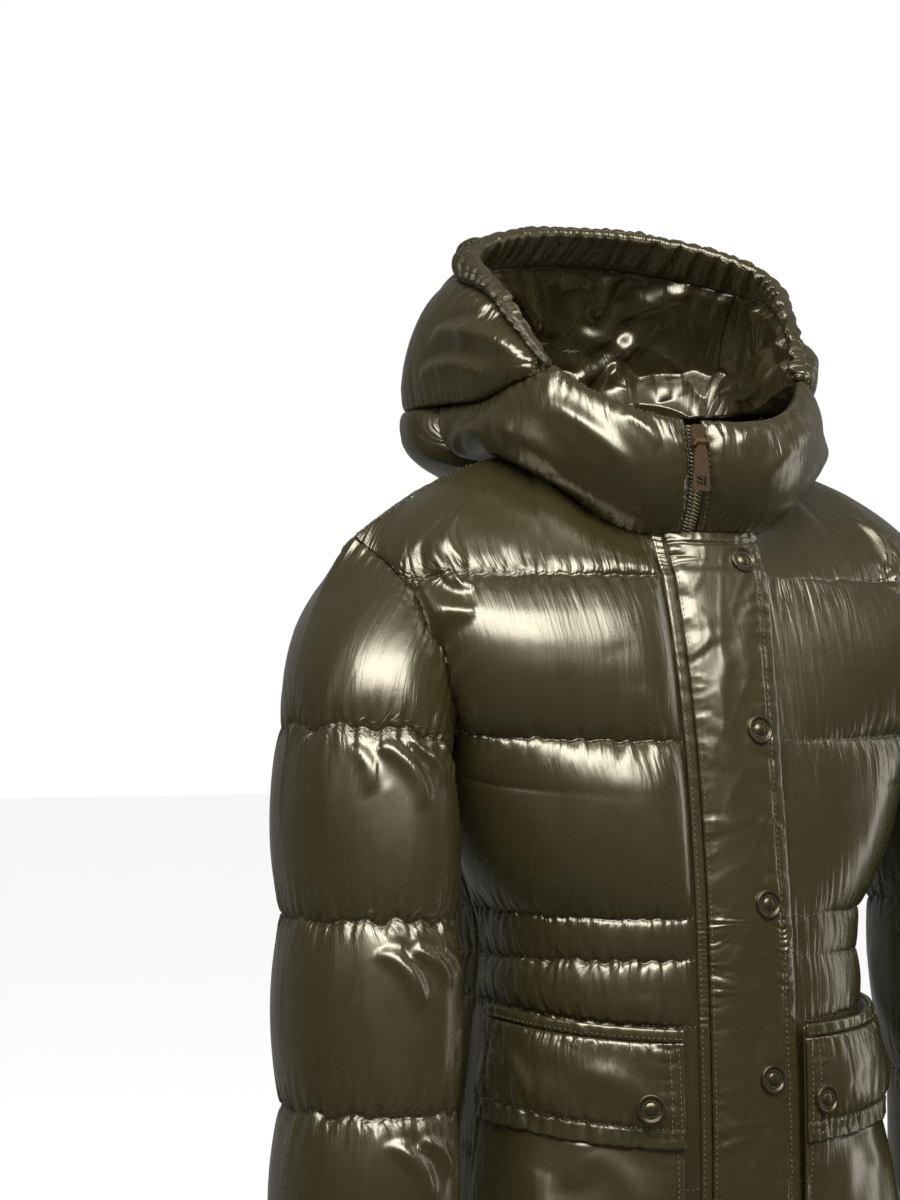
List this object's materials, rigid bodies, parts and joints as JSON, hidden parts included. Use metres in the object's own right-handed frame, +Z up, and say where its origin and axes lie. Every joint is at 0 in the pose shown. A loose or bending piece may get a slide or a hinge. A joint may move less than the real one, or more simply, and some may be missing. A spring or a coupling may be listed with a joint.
{
  "type": "hooded padded parka",
  "caption": "Hooded padded parka in its worn shape: quilted in rows, zip under a snapped placket, flap pockets, gathered hood edge.",
  "frame": {"origin": "centre of the neck's base, between the shoulders that hold the garment up", "axes": "+Z up along the body, -Y toward the wearer's front, +X toward the wearer's left"},
  "size_m": [0.5456, 0.2857, 0.7697],
  "materials": {
    "nylon": "lacquered, glossy olive nylon shell over padding",
    "strap": "the same nylon, flat and doubled",
    "snap_metal": "satin, olive lacquered metal",
    "zip_metal": "polished, copper coloured",
    "chain": "moulded teeth on woven tape"
  },
  "bodies": {
    "parka": {"front_left": "nylon", "front_right": "nylon", "back": "nylon", "sleeve_left": "nylon", "sleeve_right": "nylon", "collar_left": "nylon", "collar_right": "nylon", "hood_side_left": "nylon", "hood_side_right": "nylon", "hood_nape": "nylon", "hood_centre": "nylon", "hood_casing": "nylon", "pocket_left": "nylon", "pocket_right": "nylon", "flap_left": "nylon", "flap_right": "nylon", "cuff_left": "strap", "cuff_right": "strap", "placket": "strap", "edge_strip": "strap", "mouth_strip_left": "strap", "mouth_strip_right": "strap", "zip_chain": "chain", "snap_1": "snap_metal", "snap_2": "snap_metal", "snap_3": "snap_metal", "snap_4": "snap_metal", "snap_5": "snap_metal", "snap_6": "snap_metal", "flap_snap_left": "snap_metal", "flap_snap_right": "snap_metal", "zip_slider": "zip_metal"},
    "pull_tab": {"pull_tab": "zip_metal"}
  },
  "joints": [
    {"name": "pull_tab_hinge", "type": "hinge", "parent": "parka", "child": "pull_tab", "pos_m": [-0.0158, -0.10014, 0.02375], "axis": [-1, 0, 0], "range_deg": [-8, 150]}
  ]
}
